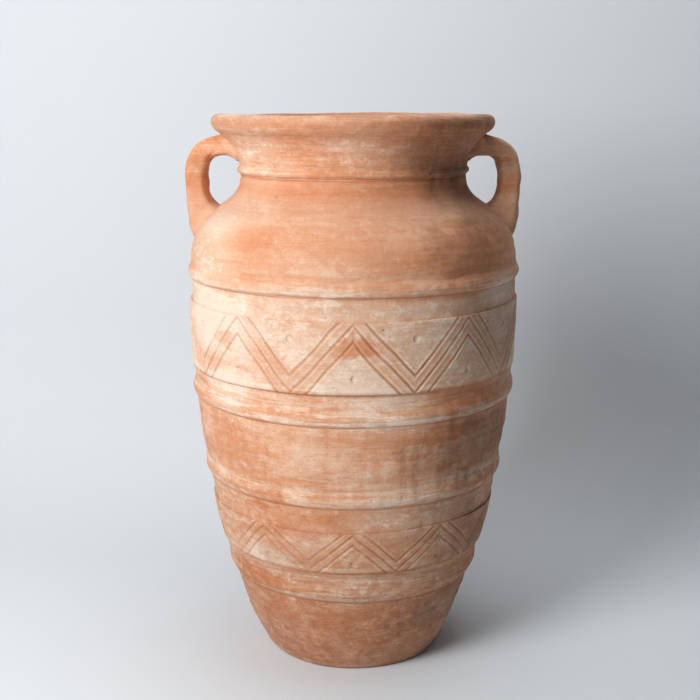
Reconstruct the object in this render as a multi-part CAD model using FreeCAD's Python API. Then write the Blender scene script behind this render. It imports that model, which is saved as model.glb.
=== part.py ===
"""A two-handled terracotta jar, one metre tall, as the lumps of clay that a potter builds it from.

Frame: millimetres, +Z up, origin at the middle of the base where it stands, handles on the X axis.

The wall is a floor slab and eleven lifts of clay, stacked on keyed joints, with a rolled rim on top. Ropes of
clay and two flat strips with an incised zigzag cover most of the joints. A strap handle stands on each side, from
under the rim to the shoulder, with a wad of luting clay at both of its ends. The pieces meet face to face.
"""

import FreeCAD
import Part

import math
import os

# ---- driving dimensions --------------------------------------------------------------------------
JAR_HEIGHT = 1000.0
JAR_RADIUS = 305.0
WALL_THICKNESS = 19.0
FLOOR_THICKNESS = 24.0
FOOT_CORNER_RADIUS = 7.0
DRAIN_RADIUS = 16.0
DRAIN_CHAMFER = 3.0

# The bare outside of the wall, from the foot to where the rim starts: (height, radius).
WALL_OUTLINE = [
    (0, 166), (40, 187), (100, 209), (170, 230.5), (250, 252.5), (330, 267), (410, 281.5), (490, 291.5),
    (570, 297), (650, 299), (720, 299.2), (755, 298.2), (785, 291.5), (812, 275), (835, 249), (852, 226),
    (868, 212), (885, 206.5), (903, 206), (920, 209), (938, 217), (954, 228.5), (968, 242),
]
RIM_SEAT = 968.0

# The lifts of the wall, from the floor up, by the height at which each ends.
LIFTS = [
    ("foot_wall", 172.0),
    ("lower_wall", 261.0),
    ("waist_wall", 367.0),
    ("belly_wall", 511.0),
    ("belt_wall", 590.0),
    ("frieze_wall", 660.0),
    ("upper_body_wall", 728.0),
    ("shoulder_base_wall", 768.0),
    ("shoulder_wall", 806.0),
    ("collar_wall", 902.0),
    ("neck_wall", RIM_SEAT),
]
JOINT_KEY_HEIGHT = 5.0
JOINT_KEY_SHARE = 0.34

# The ropes of clay round the jar: (name, lowest height, highest height, how far it stands out).
RINGS = [
    ("foot_ring", 157.0, 199.0, 4.8),
    ("waist_ring", 347.0, 385.0, 5.2),
    ("belt_ring", 497.0, 535.0, 5.6),
    ("shoulder_ring", 713.0, 744.0, JAR_RADIUS - 299.2),
    ("neck_ring", 894.0, 911.0, 5.0),
]
RING_CREST_SHARE = 0.36
RING_ROOT_DEPTH = 6.0

# The flat strips that carry the incised zigzag:
# (name, lowest height, highest height, peaks in the turn, dents between the peaks).
FRIEZES = [("lower_frieze", 221.0, 301.0, 10, False), ("upper_frieze", 554.0, 675.0, 9, True)]
FRIEZE_RELIEF = 3.4
FRIEZE_EDGE_ROUND = 1.6
ZIGZAG_LINES = 3
ZIGZAG_LINE_PITCH_SHARE = 0.25
GROOVE_WIDTH = 4.4
GROOVE_DEPTH = 2.1
GROOVE_OVERRUN = 2.0
GROOVE_SPANS = 4
STAMP_RADIUS = 4.0
STAMP_DEPTH = 1.6

# The rim: a rope of clay folded outwards over the neck's top.
RIM_OUTER_RADIUS = 255.5
RIM_OUTER_HEIGHT = 989.0
RIM_SEAT_RADIUS = 244.5
RIM_TOP_RADIUS = 241.0
MOUTH_RADIUS = 216.5
MOUTH_HEIGHT = 983.0

# The strap handle, by stations from the neck to the shoulder: centre (x, z), the way that the strap runs there in
# degrees from +X, its thickness in the jar's radial plane and its breadth along Y.
HANDLE_STATIONS = [
    (203.0, 941.0, 0.0, 37.0, 74.0),
    (244.0, 943.5, 0.0, 36.0, 68.0),
    (268.0, 934.0, -38.0, 37.0, 64.0),
    (283.0, 909.0, -74.0, 40.0, 62.0),
    (285.5, 878.0, -91.0, 39.0, 62.0),
    (283.5, 856.0, -92.0, 42.0, 63.0),
    (276.5, 831.0, -95.0, 54.0, 66.0),
    (268.0, 800.0, -101.0, 62.0, 72.0),
    (253.0, 768.0, -108.0, 54.0, 76.0),
]
HANDLE_CORNER_SHARE = 0.44
LUTING_HEIGHT = 3.6
LUTING_REACH = 7.0
LUTING_SPLIT = 870.0

FULL_TURN = 360.0
AXIS = FreeCAD.Vector(0, 0, 1)
ORIGIN = FreeCAD.Vector(0, 0, 0)


def point(radius, height):
    """A point of an outline, in the XZ plane."""
    return FreeCAD.Vector(radius, 0, height)


def line(start, end):
    """A straight edge."""
    return Part.makeLine(start, end)


def arc(start, through, end):
    """An edge on the circle through three points."""
    return Part.Arc(start, through, end).toShape()


def turned(edges):
    """The solid that a closed outline in the XZ plane sweeps round the jar's axis."""
    face = Part.Face(Part.Wire(Part.__sortEdges__(edges)))
    return face.revolve(ORIGIN, AXIS, FULL_TURN)


def polygon(points):
    """The straight edges that join the points in turn and close."""
    return [line(a, b) for a, b in zip(points, points[1:] + points[:1]) if (a - b).Length > 1e-6]


def wall_curve():
    """The outside of the wall as one smooth curve."""
    curve = Part.BSplineCurve()
    curve.interpolate([point(r, z) for z, r in WALL_OUTLINE])
    return curve


def wall_radius(curve, height):
    """The outside radius of the bare wall at a height."""
    level = Part.LineSegment(point(0, height), point(2 * JAR_RADIUS, height))
    return curve.intersectCC(level)[0].X


def inner_curve(curve):
    """The inside of the wall: the outside moved inwards along its normal by the wall's thickness."""
    points = []
    for height, radius in WALL_OUTLINE:
        tangent = curve.tangent(curve.parameter(point(radius, height)))[0]
        inwards = FreeCAD.Vector(-tangent.z, 0, tangent.x)
        points.append(point(radius, height) + inwards * WALL_THICKNESS)
    inside = Part.BSplineCurve()
    inside.interpolate([p for p in points if p.z > FLOOR_THICKNESS - WALL_THICKNESS])
    return inside


def filled_jar(curve):
    """The jar's bare outside as one filled solid, which every piece on the wall is trimmed against."""
    foot, top = curve.StartPoint, curve.EndPoint
    axis_top = point(0, top.z)
    solid = turned([curve.toShape(), line(top, axis_top), line(axis_top, ORIGIN), line(ORIGIN, foot)])
    corner = [e for e in solid.Edges if e.BoundBox.ZMax < 1 and e.BoundBox.XMax > foot.x - 1 and e.Closed]
    return solid.makeFillet(FOOT_CORNER_RADIUS, corner[:1])


def jar_hollow(curve):
    """The space inside the wall, above the floor."""
    inside = inner_curve(curve)
    start, end = inside.StartPoint, inside.EndPoint
    space = turned([inside.toShape(), line(end, point(0, end.z)), line(point(0, end.z), point(0, start.z)),
                    line(point(0, start.z), start)])
    floor = Part.makeCylinder(JAR_RADIUS, FLOOR_THICKNESS + JAR_HEIGHT, ORIGIN, AXIS)
    floor.translate(FreeCAD.Vector(0, 0, FLOOR_THICKNESS))
    return space.common(floor)


def joint_line(curve, height):
    """A keyed joint between two lifts, as points from the axis out: a ridge in the middle of the wall."""
    if height in (0.0, RIM_SEAT):
        return [point(0, height), point(2 * JAR_RADIUS, height)]
    middle = wall_radius(curve, height) - WALL_THICKNESS / 2
    half_key = WALL_THICKNESS * JOINT_KEY_SHARE / 2
    return [
        point(0, height),
        point(middle - 1.5 * half_key, height),
        point(middle - half_key, height + JOINT_KEY_HEIGHT),
        point(middle + half_key, height + JOINT_KEY_HEIGHT),
        point(middle + 1.5 * half_key, height),
        point(2 * JAR_RADIUS, height),
    ]


def slice_between(curve, low, high):
    """Everything between two joints."""
    return turned(polygon(joint_line(curve, low) + joint_line(curve, high)[::-1]))


def wall_pieces(curve, filled):
    """The floor slab and the lifts of the wall, by name."""
    shell = filled.cut(jar_hollow(curve))
    slab = shell.common(slice_between(curve, 0.0, FLOOR_THICKNESS)).cut(drain_hole())
    pieces = {"floor_slab": slab}
    low = FLOOR_THICKNESS
    for name, high in LIFTS:
        pieces[name] = shell.common(slice_between(curve, low, high))
        low = high
    return pieces


def drain_hole():
    """The hole through the middle of the floor, with both of its edges broken."""
    hole = Part.makeCylinder(DRAIN_RADIUS, FLOOR_THICKNESS)
    wide = DRAIN_RADIUS + DRAIN_CHAMFER
    bottom = Part.makeCone(wide, DRAIN_RADIUS, DRAIN_CHAMFER)
    top = Part.makeCone(DRAIN_RADIUS, wide, DRAIN_CHAMFER, point(0, FLOOR_THICKNESS - DRAIN_CHAMFER))
    return hole.fuse([bottom, top])


def clay_ring(curve, filled, low, high, stands_out):
    """A rope of clay pressed on to the wall: full below its crest, and smoothed into the wall above it."""
    crest_height = low + (high - low) * RING_CREST_SHARE
    crest = point(wall_radius(curve, crest_height) + stands_out, crest_height)
    foot = point(wall_radius(curve, low), low)
    head = point(wall_radius(curve, high), high)
    belly = point(wall_radius(curve, low) + stands_out * 0.72, low + (crest_height - low) * 0.3)
    slope = point((crest.x + head.x) / 2 + stands_out * 0.16, (crest_height + high) / 2)
    root_foot, root_head = point(foot.x - RING_ROOT_DEPTH, low), point(head.x - RING_ROOT_DEPTH, high)
    rope = turned([arc(foot, belly, crest), arc(crest, slope, head), line(head, root_head),
                   line(root_head, root_foot), line(root_foot, foot)])
    return rope.cut(filled)


def rim_roll():
    """The rolled rim on the neck's top."""
    seat_outer, seat_inner = point(RIM_SEAT_RADIUS, RIM_SEAT), point(MOUTH_RADIUS, RIM_SEAT)
    outer = point(RIM_OUTER_RADIUS, RIM_OUTER_HEIGHT)
    top = point(RIM_TOP_RADIUS, JAR_HEIGHT)
    inner = point(MOUTH_RADIUS, MOUTH_HEIGHT)
    return turned([
        arc(seat_outer, point(251.7, 976.5), outer),
        arc(outer, point(250.5, 997.0), top),
        arc(top, point(MOUTH_RADIUS + 7.0, 995.5), inner),
        line(inner, seat_inner),
        line(seat_inner, seat_outer),
    ])


def on_strip(curve, angle, height, lift):
    """The point at an angle round the jar and a height, this far outside the bare wall."""
    radius = wall_radius(curve, height) + lift
    return FreeCAD.Vector(radius * math.sin(angle), -radius * math.cos(angle), height)


def groove(curve, start, end):
    """A cutter for one incised line between two (angle, height) places: a bar of triangular section, laid on
    the strip's face with its edge downwards."""
    mean_radius = wall_radius(curve, (start[1] + end[1]) / 2)
    run, rise = (end[0] - start[0]) * mean_radius, end[1] - start[1]
    length = math.hypot(run, rise)
    over_angle, over_height = -rise / length / mean_radius, run / length
    along_angle, along_height = over_height / mean_radius, rise / length
    sections = []
    for i in range(GROOVE_SPANS + 1):
        travel = -GROOVE_OVERRUN + (length + 2 * GROOVE_OVERRUN) * i / GROOVE_SPANS
        angle = start[0] + along_angle * travel
        height = start[1] + along_height * travel
        corners = [on_strip(curve, angle, height, FRIEZE_RELIEF - GROOVE_DEPTH)]
        for side in (GROOVE_WIDTH, -GROOVE_WIDTH):
            place = (angle + over_angle * side, height + over_height * side)
            corners.append(on_strip(curve, place[0], place[1], FRIEZE_RELIEF + GROOVE_DEPTH))
        sections.append(Part.makePolygon(corners + corners[:1]))
    return Part.makeLoft(sections, True, False)


def zigzag_grooves(curve, low, high, repeats):
    """The cutters of the zigzag: parallel lines, each cut off where it would leave the strip."""
    margin = 3.0
    floor, roof = low + margin, high - margin
    amplitude = roof - floor
    half = math.pi / repeats
    cutters = []
    for index in range(ZIGZAG_LINES):
        shift = (index - 1) * amplitude * ZIGZAG_LINE_PITCH_SHARE
        for arm in range(2 * repeats):
            rising = arm % 2 == 1
            start, end = arm * half, (arm + 1) * half
            z_start = (floor if rising else roof) + shift
            z_end = (roof if rising else floor) + shift
            a, b = cut_to_strip((start, z_start), (end, z_end), floor, roof)
            cutters.append(groove(curve, a, b))
    return cutters


def cut_to_strip(start, end, floor, roof):
    """The stretch of a sloping line that lies between two heights."""
    def at(height):
        share = (height - start[1]) / (end[1] - start[1])
        return (start[0] + (end[0] - start[0]) * share, height)

    kept = [p if floor <= p[1] <= roof else at(min(max(p[1], floor), roof)) for p in (start, end)]
    return kept[0], kept[1]


def stamps(curve, low, high, repeats, between_peaks):
    """The round dents: one low down under each peak, and one high up between two peaks if the strip has them."""
    half = math.pi / repeats
    dents = []
    for index in range(0, 2 * repeats, 1 if between_peaks else 2):
        height = low + (high - low) * (0.76 if index % 2 else 0.24)
        middle = on_strip(curve, index * half, height, FRIEZE_RELIEF - STAMP_DEPTH)
        outwards = FreeCAD.Vector(middle.x, middle.y, 0).normalize()
        dents.append(Part.makeCylinder(STAMP_RADIUS, 4 * STAMP_DEPTH, middle, outwards))
    return dents


def frieze(curve, filled, low, high, repeats, between_peaks):
    """A flat strip of clay round the wall, with the zigzag and the dents cut into it."""
    face = FRIEZE_RELIEF
    edge = FRIEZE_EDGE_ROUND
    outer = Part.BSplineCurve()
    heights = [low + edge + (high - low - 2 * edge) * i / 4 for i in range(5)]
    outer.interpolate([point(wall_radius(curve, z) + face, z) for z in heights])
    foot, head = outer.StartPoint, outer.EndPoint
    low_edge, high_edge = point(foot.x - edge, low), point(head.x - edge, high)
    root_low, root_high = point(foot.x - 3 * face, low), point(head.x - 3 * face, high)
    strip = turned([
        outer.toShape(), line(head, high_edge), line(high_edge, root_high), line(root_high, root_low),
        line(root_low, low_edge), line(low_edge, foot),
    ]).cut(filled)
    dents = stamps(curve, low, high, repeats, between_peaks)
    for cutter in zigzag_grooves(curve, low, high, repeats) + dents:
        strip = strip.cut(cutter)
    return strip


def strap_section(x, z, heading, thickness, breadth, grown):
    """One cross-section of the strap: a rounded oblong, across the way that the strap runs."""
    half_t, half_b = thickness / 2 + grown, breadth / 2 + grown
    corner = half_t * 2 * HANDLE_CORNER_SHARE
    slope = math.radians(heading)
    across = FreeCAD.Vector(-math.sin(slope), 0, math.cos(slope))
    along_y = FreeCAD.Vector(0, 1, 0)
    centre = point(x, z)

    def at(t, b):
        return centre + across * t + along_y * b

    inset = corner * (1 - math.sqrt(0.5))
    edges = []
    for t_side, b_side in ((1, 1), (-1, 1), (-1, -1), (1, -1)):
        flat = at(t_side * (half_t - corner), b_side * half_b)
        bend = at(t_side * (half_t - inset), b_side * (half_b - inset))
        side = at(t_side * half_t, b_side * (half_b - corner))
        ends = (side, flat) if t_side * b_side > 0 else (flat, side)
        edges.append((ends[0], bend, ends[1]))
    parts = []
    for i, (start, bend, end) in enumerate(edges):
        parts.append(arc(start, bend, end))
        parts.append(line(end, edges[(i + 1) % 4][0]))
    return Part.Wire(parts)


def strap(grown):
    """The whole strap on the +X side, with both ends run into the wall."""
    return Part.makeLoft([strap_section(*s, grown) for s in HANDLE_STATIONS], True, False)


def biggest(shape):
    """The largest of a shape's solids."""
    return max(shape.Solids, key=lambda s: s.Volume)


def handle(filled):
    """The strap handle on the +X side."""
    return biggest(strap(0.0).cut(filled))


def luting(curve, filled, upper):
    """The collar of clay smeared round one end of the handle on the +X side."""
    skin = turned([edge.toShape() for edge in outline_of_skin(curve)])
    half = Part.makeBox(2 * JAR_RADIUS, 2 * JAR_RADIUS, JAR_HEIGHT, FreeCAD.Vector(0, -JAR_RADIUS, 0))
    half.translate(FreeCAD.Vector(0, 0, LUTING_SPLIT if upper else LUTING_SPLIT - JAR_HEIGHT))
    return biggest(strap(LUTING_REACH).common(skin).common(half).cut(filled).cut(strap(0.0)))


def outline_of_skin(curve):
    """The wall's outline moved outwards by the luting clay's height, closed along the axis."""
    points = []
    for height, radius in WALL_OUTLINE:
        tangent = curve.tangent(curve.parameter(point(radius, height)))[0]
        points.append(point(radius, height) + FreeCAD.Vector(tangent.z, 0, -tangent.x) * LUTING_HEIGHT)
    outside = Part.BSplineCurve()
    outside.interpolate(points)
    start, end = points[0], points[-1]
    axis_end, axis_start = point(0, end.z), point(0, start.z)
    return [outside, Part.LineSegment(end, axis_end), Part.LineSegment(axis_end, axis_start),
            Part.LineSegment(axis_start, start)]


def mirrored(shape):
    """The same piece on the other side of the jar."""
    return shape.mirror(ORIGIN, FreeCAD.Vector(1, 0, 0))


def main():
    """Makes every piece and writes one STEP for each."""
    os.makedirs("parts", exist_ok=True)
    curve = wall_curve()
    filled = filled_jar(curve)
    pieces = wall_pieces(curve, filled)
    pieces["rim_roll"] = rim_roll()
    for name, low, high, stands_out in RINGS:
        pieces[name] = clay_ring(curve, filled, low, high, stands_out)
    for name, low, high, repeats, between_peaks in FRIEZES:
        pieces[name] = frieze(curve, filled, low, high, repeats, between_peaks)
    right = handle(filled)
    pieces["right_handle"] = right
    pieces["left_handle"] = mirrored(right)
    for end, upper in (("upper", True), ("lower", False)):
        collar = luting(curve, filled, upper)
        pieces[f"right_{end}_luting"] = collar
        pieces[f"left_{end}_luting"] = mirrored(collar)
    for name, shape in pieces.items():
        solids = shape.Solids
        box = shape.BoundBox
        print(f"{name:16s} solids {len(solids)} valid {shape.isValid()} volume {shape.Volume / 1e6:8.4f} l "
              f"x {box.XMin:7.1f} {box.XMax:7.1f} z {box.ZMin:7.1f} {box.ZMax:7.1f}")
        shape = solids[0] if len(solids) == 1 else Part.makeCompound(solids)
        shape.exportStep(f"parts/{name}.step")


main()
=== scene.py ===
"""The finished look of a two-handled terracotta jar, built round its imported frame.

Every length is in metres, in the frame's own axes: +Z is up, the origin is in the middle of the base,
the handles are on the X axis and the side that is seen first faces -Y. Angles round the jar count from
-Y towards +X.
"""

import logging
import math
from dataclasses import dataclass
from enum import Enum
from typing import Any, Callable, ClassVar, Iterable, Sequence

import bmesh
import bpy
import numpy as np
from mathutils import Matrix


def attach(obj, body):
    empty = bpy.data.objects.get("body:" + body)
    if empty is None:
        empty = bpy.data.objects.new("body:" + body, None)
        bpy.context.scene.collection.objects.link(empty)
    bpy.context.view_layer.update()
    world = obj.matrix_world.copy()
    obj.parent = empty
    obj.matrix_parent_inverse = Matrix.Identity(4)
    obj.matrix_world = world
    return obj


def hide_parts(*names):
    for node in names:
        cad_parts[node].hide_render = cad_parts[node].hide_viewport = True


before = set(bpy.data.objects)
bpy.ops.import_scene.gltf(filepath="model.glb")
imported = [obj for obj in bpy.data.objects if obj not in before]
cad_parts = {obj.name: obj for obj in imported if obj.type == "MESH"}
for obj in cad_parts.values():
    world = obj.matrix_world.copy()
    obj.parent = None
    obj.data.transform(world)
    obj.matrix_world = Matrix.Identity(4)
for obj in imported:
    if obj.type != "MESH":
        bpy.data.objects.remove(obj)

LOG = logging.getLogger("jar")
BODY = "root"
TURN = 2 * math.pi
WELD = 1e-5
SHARP_ANGLE = math.radians(60)

Triple = tuple[float, float, float]
Colour = tuple[float, float, float, float]
Curve = tuple[tuple[float, float], ...]
Stops = Sequence[tuple[float, Any]]
Inputs = dict[Any, Any]

# The bare outside of the wall, from the foot to the rim's seat: (height, radius).
WALL_OUTLINE = (
    (0.0, 0.166), (0.04, 0.187), (0.1, 0.209), (0.17, 0.2305), (0.25, 0.2525), (0.33, 0.267),
    (0.41, 0.2815), (0.49, 0.2915), (0.57, 0.297), (0.65, 0.299), (0.72, 0.2992), (0.755, 0.2982),
    (0.785, 0.2915), (0.812, 0.275), (0.835, 0.249), (0.852, 0.226), (0.868, 0.212), (0.885, 0.2065),
    (0.903, 0.206), (0.92, 0.209), (0.938, 0.217), (0.954, 0.2285), (0.968, 0.242),
)
RIM_SEAT = 0.968
# The heights of the creases under each rope and under the friezes, where the finish paints shade.
CREASES = (0.157, 0.2205, 0.347, 0.497, 0.5535, 0.713, 0.8935)


class Slot(Enum):
    """The record's material slots."""

    TERRACOTTA = "terracotta"
    WASHED = "washed_terracotta"


# ---- Node trees ----


def _both_ways(operation: str) -> tuple[Callable[..., "Wire"], Callable[..., "Wire"]]:
    """Makes an arithmetic operator of Wire and its mirror image, which each add one Math node.

    Args:
        operation: The Math node's operation.

    Returns:
        The operator with the wire on the left, and the one with the wire on the right.
    """
    return (lambda wire, other: wire.bench.math(operation, wire, other),
            lambda wire, other: wire.bench.math(operation, other, wire))


class Wire:
    """One output socket, with the arithmetic operators adding Math nodes."""

    __add__, __radd__ = _both_ways("ADD")
    __sub__, __rsub__ = _both_ways("SUBTRACT")
    __mul__, __rmul__ = _both_ways("MULTIPLY")
    __truediv__, __rtruediv__ = _both_ways("DIVIDE")
    __pow__, __rpow__ = _both_ways("POWER")

    def __init__(self, bench: "NodeBench", socket: bpy.types.NodeSocket) -> None:
        """Keeps the socket and the bench that its tree is built on."""
        self.bench = bench
        self.socket = socket

    def __neg__(self) -> "Wire":
        """Minus this."""
        return self * -1.0

    def __abs__(self) -> "Wire":
        """This without its sign."""
        return self.bench.math("ABSOLUTE", self)


class NodeBench:
    """Adds nodes and links to one node tree."""

    def __init__(self, tree: bpy.types.NodeTree) -> None:
        """Keeps the tree that every node goes into."""
        self.tree = tree

    @classmethod
    def emptied(cls, owner: Any) -> "NodeBench":
        """A bench on the node tree of a material or a world, emptied."""
        owner.use_nodes = True
        owner.node_tree.nodes.clear()
        return cls(owner.node_tree)

    def node(self, kind: str, inputs: Inputs | None = None, stops: Stops = (),
             **settings: Any) -> bpy.types.Node:
        """Adds one node.

        Args:
            kind: The node's type.
            inputs: Values or wires for its sockets, by name or index.
            stops: A colour ramp's stops, as (position, colour or grey).
            **settings: The node's own properties, which are set first.

        Returns:
            The new node.
        """
        made = self.tree.nodes.new(kind)
        for key, value in settings.items():
            setattr(made, key, value)
        if stops:
            elements = made.color_ramp.elements
            while len(elements) < len(stops):
                elements.new(1.0)
            for element, (place, tone) in zip(elements, stops):
                element.position = place
                element.color = tone if isinstance(tone, tuple) else (tone, tone, tone, 1.0)
        for key, value in (inputs or {}).items():
            socket = made.inputs[key]
            if isinstance(value, Wire):
                self.tree.links.new(value.socket, socket)
            else:
                socket.default_value = value
        return made

    def wire(self, kind: str, output: Any = 0, inputs: Inputs | None = None, stops: Stops = (),
             **settings: Any) -> Wire:
        """Adds one node and returns the named output of it."""
        return Wire(self, self.node(kind, inputs, stops, **settings).outputs[output])

    def math(self, operation: str, *values: Any) -> Wire:
        """Adds a Math node on up to three values."""
        return self.wire("ShaderNodeMath", 0, dict(enumerate(values)), operation=operation)

    def clamp(self, value: Any, low: Any, high: Any) -> Wire:
        """Holds a value between two others."""
        return self.math("MINIMUM", self.math("MAXIMUM", value, low), high)

    def fade(self, value: Any, start: float, end: float, low: Any = 0.0, high: Any = 1.0) -> Wire:
        """Goes smoothly from low to high while the value goes from start to end."""
        return self.wire("ShaderNodeMapRange", 0, {0: value, 1: start, 2: end, 3: low, 4: high},
                         interpolation_type="SMOOTHSTEP")

    def bell(self, value: Wire, width: Any) -> Wire:
        """A bell-shaped bump of height 1 where the value is 0."""
        share = value / width
        return self.math("EXPONENT", -(share * share))

    def mix(self, factor: Any, first: Any, second: Any) -> Wire:
        """Mixes two colours."""
        return self.wire("ShaderNodeMix", 2, {0: factor, 6: first, 7: second}, data_type="RGBA")

    def mark(self, name: str) -> Wire:
        """The value that the piece's points keep under a name."""
        return self.wire("ShaderNodeAttribute", "Fac", attribute_name=name)

    def ramp(self, value: Wire, stops: Stops) -> Wire:
        """The colour or grey between the given stops."""
        return self.wire("ShaderNodeValToRGB", 0, {0: value}, stops=stops)

    def scaled(self, vector: Wire, scale: Triple) -> Wire:
        """Multiplies a vector by another, part by part."""
        return self.wire("ShaderNodeVectorMath", 0, {0: vector, 1: scale}, operation="MULTIPLY")

    def noise(self, vector: Wire, scale: Triple, detail: float, rough: float, seed: Any,
              bend: float = 0.0) -> Wire:
        """Smooth chance values from 0 to 1, stretched by the three scales."""
        return self.wire("ShaderNodeTexNoise", 0, {
            "Vector": self.scaled(vector, scale), "W": seed, "Scale": 1.0, "Detail": detail,
            "Roughness": rough, "Distortion": bend}, noise_dimensions="4D")

    def chance(self, *settings: Any) -> Wire:
        """The same noise, centred on 0."""
        return self.noise(*settings) - 0.5


def put_in_scene(name: str, data: bpy.types.ID) -> bpy.types.Object:
    """Makes an object of the data and links it to the scene."""
    made = bpy.data.objects.new(name, data)
    bpy.context.scene.collection.objects.link(made)
    return made


class Maker:
    """A Geometry Nodes tree that makes one kind of band, with named inputs for its sizes.

    Attributes:
        KINDS: The inputs that aren't plain numbers, and what they are.
        RADII: The bare wall's radius at the band's foot, middle and head.
    """

    KINDS = {"turns": "Int", "rows": "Int", "clay": "Material"}
    RADII = ("foot", "middle", "head")

    def __init__(self, name: str, sizes: Iterable[str]) -> None:
        """Starts the tree.

        Args:
            name: The tree's name.
            sizes: The names of the band's own numbers.
        """
        self.tree = bpy.data.node_groups.new(name, "GeometryNodeTree")
        self.tree.interface.new_socket("Geometry", in_out="OUTPUT", socket_type="NodeSocketGeometry")
        for label in (*self.KINDS, *self.RADII, *sizes):
            kind = f"NodeSocket{self.KINDS.get(label, 'Float')}"
            self.tree.interface.new_socket(label, in_out="INPUT", socket_type=kind)
        self.bench = NodeBench(self.tree)
        self.source = self.bench.node("NodeGroupInput")

    def size(self, name: str) -> Wire:
        """The wire of one named input."""
        return Wire(self.bench, self.source.outputs[name])

    def sheet(self) -> tuple[Wire, Wire, Wire]:
        """Adds a square sheet of Turns by Rows.

        Returns:
            The sheet's geometry, and its two coordinates from 0 to 1.
        """
        grid = self.bench.node("GeometryNodeMeshGrid", {
            "Size X": 1.0, "Size Y": 1.0, "Vertices X": self.size("turns") + 1.0,
            "Vertices Y": self.size("rows")})
        parts = self.bench.node("ShaderNodeSeparateXYZ", {0: self.bench.wire("GeometryNodeInputPosition")})
        return (Wire(self.bench, grid.outputs["Mesh"]), Wire(self.bench, parts.outputs[0]) + 0.5,
                Wire(self.bench, parts.outputs[1]) + 0.5)

    def round_the_jar(self, angle: Wire, radius: Any, height: Any) -> Wire:
        """The place at an angle, a radius and a height."""
        bench = self.bench
        return bench.wire("ShaderNodeCombineXYZ", 0, {
            0: radius * bench.math("SINE", angle), 1: -(radius * bench.math("COSINE", angle)), 2: height})

    def bare_radius(self, share: Wire) -> Wire:
        """The bare wall's radius, through the three given radii, at a share of the piece's height."""
        low, middle, high = map(self.size, self.RADII)
        rest = 1.0 - share
        return low * rest * (rest - share) + middle * share * rest * 4.0 + high * share * (share - rest)

    def finish(self, shape: Wire, place: Wire, **marks: Wire) -> None:
        """Moves the sheet into place, welds its seam, stores the marks and ends the tree.

        Args:
            shape: The sheet.
            place: Where each of its points goes.
            **marks: Values to keep on the points, by name.
        """
        bench = self.bench
        for name, value in marks.items():
            shape = bench.wire("GeometryNodeStoreNamedAttribute", 0, {
                "Geometry": shape, "Name": name, "Value": value}, data_type="FLOAT", domain="POINT")
        for kind, inputs in (
                ("SetPosition", {"Position": place}), ("MergeByDistance", {"Distance": 2 * WELD}),
                ("RealizeInstances", {}), ("SetMaterial", {"Material": self.size("clay")})):
            shape = bench.wire(f"GeometryNode{kind}", 0, {"Geometry": shape, **inputs})
        bench.node("NodeGroupOutput", {"Geometry": shape})

    def make(self, name: str, values: dict[str, Any]) -> bpy.types.Mesh:
        """Runs the tree once and returns what it makes as a plain mesh."""
        blank = put_in_scene(f"{name}_blank", bpy.data.meshes.new(f"{name}_blank"))
        modifier = blank.modifiers.new("make", "NODES")
        modifier.node_group = self.tree
        for item in self.tree.interface.items_tree:
            if item.in_out == "INPUT":
                modifier[item.identifier] = values[item.name]
        evaluated = blank.evaluated_get(bpy.context.evaluated_depsgraph_get())
        mesh = bpy.data.meshes.new_from_object(evaluated)
        mesh.name = name
        bpy.data.objects.remove(blank)
        return mesh


# ---- Shapes ----


class SmoothCurve:
    """A natural cubic curve through points of rising x."""

    def __init__(self, points: Iterable[tuple[float, float]]) -> None:
        """Solves the curve's bends once."""
        self.x, self.y = (np.array(column, dtype=float) for column in zip(*points))
        gaps, count = np.diff(self.x), len(self.x)
        rises = np.diff(self.y) / gaps
        matrix, right = np.eye(count), np.zeros(count)
        for i in range(1, count - 1):
            matrix[i, i - 1:i + 2] = gaps[i - 1], 2 * (gaps[i - 1] + gaps[i]), gaps[i]
            right[i] = 6 * (rises[i] - rises[i - 1])
        self.bends = np.linalg.solve(matrix, right)

    def __call__(self, x: Any) -> np.ndarray:
        """The curve's height at x."""
        x = np.clip(np.asarray(x, dtype=float), self.x[0], self.x[-1])
        i = np.clip(np.searchsorted(self.x, x) - 1, 0, len(self.x) - 2)
        gap = self.x[i + 1] - self.x[i]
        p = (x - self.x[i]) / gap
        q = 1 - p
        bend = (p ** 3 - p) * self.bends[i + 1] + (q ** 3 - q) * self.bends[i]
        return q * self.y[i] + p * self.y[i + 1] + bend * gap * gap / 6

    def slope(self, x: Any, step: float = 1e-4) -> np.ndarray:
        """The curve's slope at x."""
        x = np.asarray(x, dtype=float)
        return (self(x + step) - self(x - step)) / (2 * step)


OUTLINE = SmoothCurve(WALL_OUTLINE)


def turned(angle: np.ndarray, radius: np.ndarray, height: np.ndarray) -> np.ndarray:
    """The points at each angle, radius and height, in loops round the jar."""
    return np.stack([radius * np.sin(angle), -radius * np.cos(angle),
                     np.broadcast_to(height, radius.shape)], axis=2)


@dataclass(frozen=True)
class Unevenness:
    """Smooth chance waves over the jar's surface, as a potter's hands leave them.

    Attributes:
        seed: The start of the random draws.
        size: The waves' usual height.
        around: The most waves in one turn.
        upward: The most waves in one metre of height.
        count: How many waves are added up.
    """

    seed: int
    size: float
    around: int
    upward: float
    count: int = 24

    def at(self, angle: np.ndarray, height: np.ndarray) -> np.ndarray:
        """The waves' height at each angle and height."""
        draw = np.random.default_rng(self.seed)
        total = np.zeros(np.broadcast(angle, height).shape)
        for _ in range(self.count):
            turns = int(draw.integers(0, self.around + 1))
            rise, phase = draw.uniform(-self.upward, self.upward), draw.uniform(0, TURN)
            total += np.sin(turns * angle + TURN * rise * height + phase)
        return total * self.size * math.sqrt(2 / self.count)


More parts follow.
